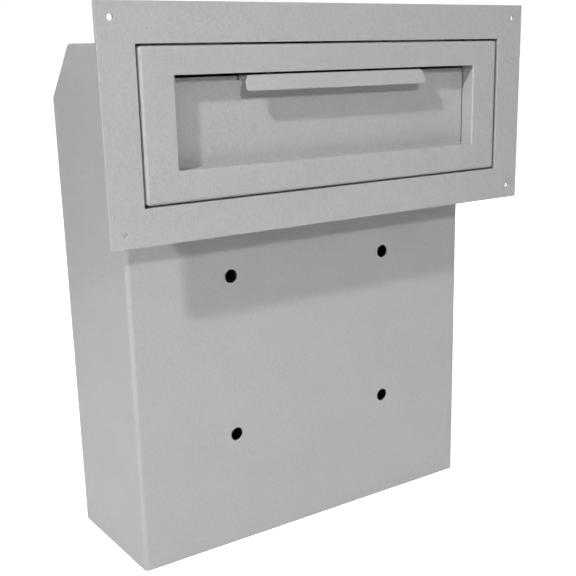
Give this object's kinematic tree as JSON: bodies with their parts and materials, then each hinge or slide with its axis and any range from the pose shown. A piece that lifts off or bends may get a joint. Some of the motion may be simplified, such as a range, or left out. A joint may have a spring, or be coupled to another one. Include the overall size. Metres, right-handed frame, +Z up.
{
  "type": "book drop box",
  "caption": "Slim sheet-steel deposit box fixed through a door or wall, with a trim plate, a tilting hopper face with a recessed pull, and a lockable rear door.",
  "frame": {"origin": "middle of the overall footprint, on the plane the box stands on", "axes": "+X right seen from the front, +Y inwards from the trim plate to the rear door, +Z up"},
  "size_m": [0.387, 0.1704, 0.4353],
  "materials": {
    "powder_coat": "fine-textured light grey powder coat, satin",
    "zinc_steel": "zinc-plated steel",
    "nickel": "nickel-plated, satin",
    "nylon": "natural nylon",
    "rubber": "black rubber"
  },
  "bodies": {
    "case": {"trim_plate": "powder_coat", "chute_roof": "powder_coat", "chute_floor": "powder_coat", "chute_side_left": "powder_coat", "chute_side_right": "powder_coat", "box_body": "powder_coat", "box_top": "powder_coat", "box_bottom": "powder_coat", "door_stop_frame": "powder_coat", "lock_strike": "powder_coat", "pivot_pins": "zinc_steel", "pivot_clips": "zinc_steel", "hopper_bumpers": "rubber", "hinge_leaf_frame": "zinc_steel", "hinge_pin": "zinc_steel", "hinge_rivets_frame": "zinc_steel"},
    "hopper": {"hopper_face": "powder_coat", "pull_panel": "powder_coat", "hopper_tray": "powder_coat", "hopper_wing_left": "powder_coat", "hopper_wing_right": "powder_coat", "pivot_bushes": "nylon"},
    "door": {"rear_door": "powder_coat", "door_stiffener": "powder_coat", "hinge_leaf_door": "zinc_steel", "hinge_rivets_door": "zinc_steel", "lock_housing": "nickel", "lock_nut": "zinc_steel"},
    "lock": {"lock_plug": "nickel", "lock_cam": "zinc_steel", "lock_cam_screw": "zinc_steel"}
  },
  "joints": [
    {"name": "hopper_tilt", "type": "hinge", "parent": "case", "child": "hopper", "pos_m": [0, -0.07583, 0.3105], "axis": [1, 0, 0], "range_deg": [0, 42]},
    {"name": "door_swing", "type": "hinge", "parent": "case", "child": "door", "pos_m": [-0.1482, 0.08293, 0.2], "axis": [0, 0, 1], "range_deg": [0, 115]},
    {"name": "lock_turn", "type": "hinge", "parent": "door", "child": "lock", "pos_m": [0.122, 0.06533, 0.2], "axis": [0, -1, 0], "range_deg": [0, 90]}
  ]
}
